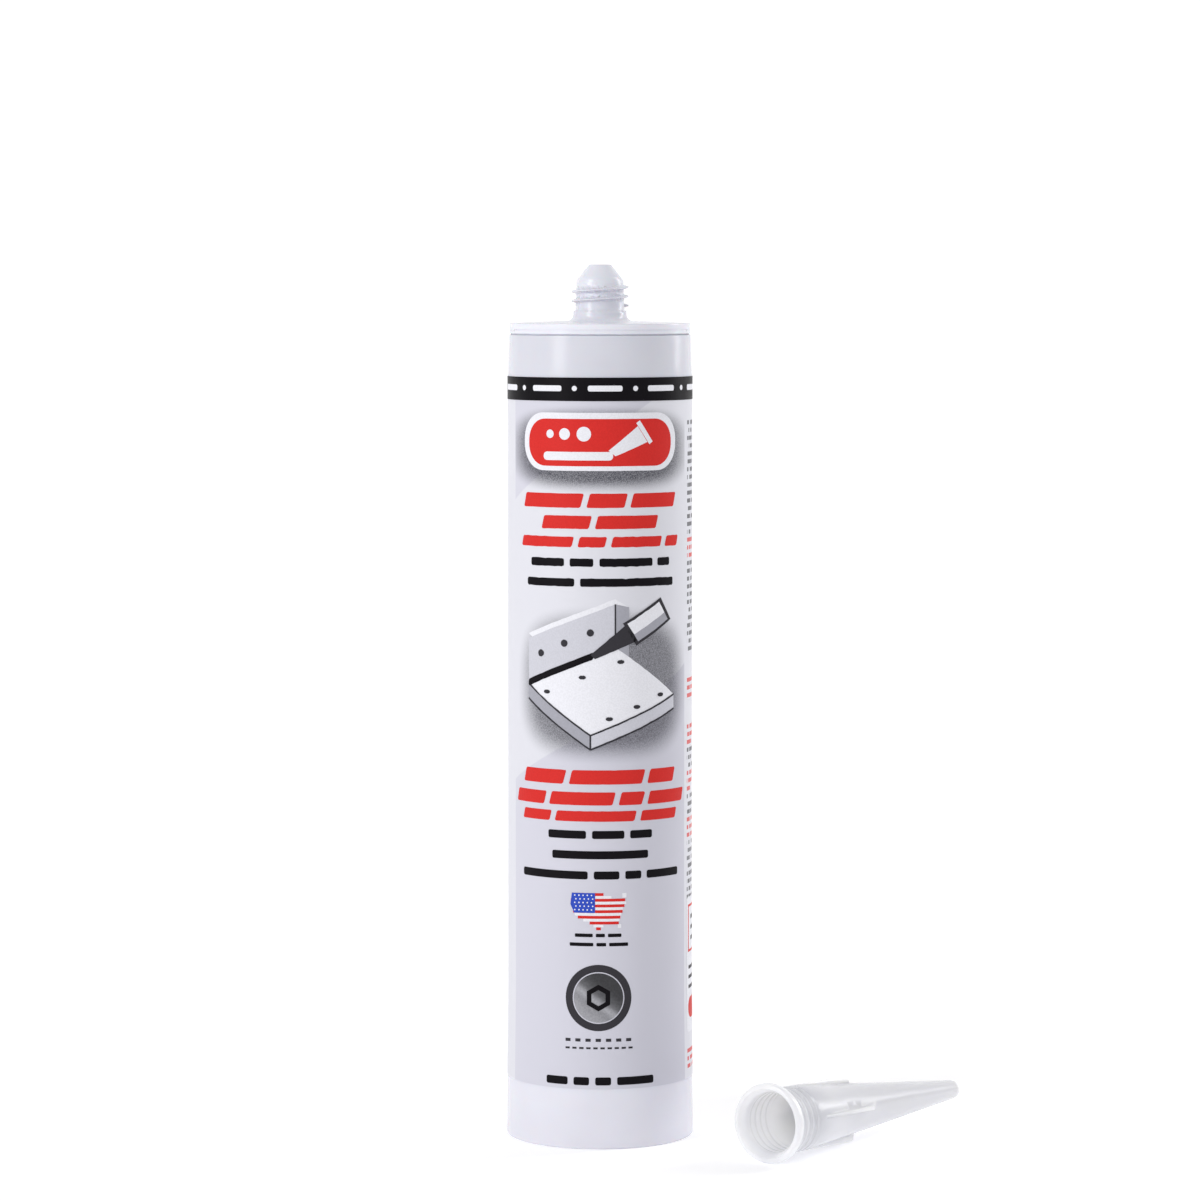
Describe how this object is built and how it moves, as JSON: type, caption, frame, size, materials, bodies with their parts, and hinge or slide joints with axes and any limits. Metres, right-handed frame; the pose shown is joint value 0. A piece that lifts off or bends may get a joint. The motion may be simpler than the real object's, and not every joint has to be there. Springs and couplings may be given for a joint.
{
  "type": "caulk tube",
  "caption": "Sealant cartridge with a threaded closed spout, a sliding piston, printed film and a tapered nozzle lying beside it.",
  "frame": {"origin": "on the barrel's axis, in the plane of its rear rim, which the cartridge stands on", "axes": "+Z along the barrel from the rear rim to the spout; the front of the print faces -Y; +X is to the right of it"},
  "size_m": [0.1228, 0.0786, 0.2303],
  "materials": {
    "barrel": "white moulded polyethylene, satin gloss",
    "head": "white moulded polyethylene, satin gloss",
    "label": "printed film, grey and white with a black band",
    "piston": "natural white moulded polyethylene, matt",
    "sealant": "black uncured sealant paste",
    "nozzle": "milky translucent moulded polyethylene"
  },
  "bodies": {
    "cartridge": {"barrel": "barrel", "head": "head", "label": "label", "sealant": "sealant", "nozzle": "nozzle"},
    "piston": {"piston": "piston"}
  },
  "joints": [
    {"name": "piston_slide", "type": "slide", "parent": "cartridge", "child": "piston", "axis": [0, 0, 1], "range_m": [0, 0.1706], "deforming": ["sealant"]}
  ]
}
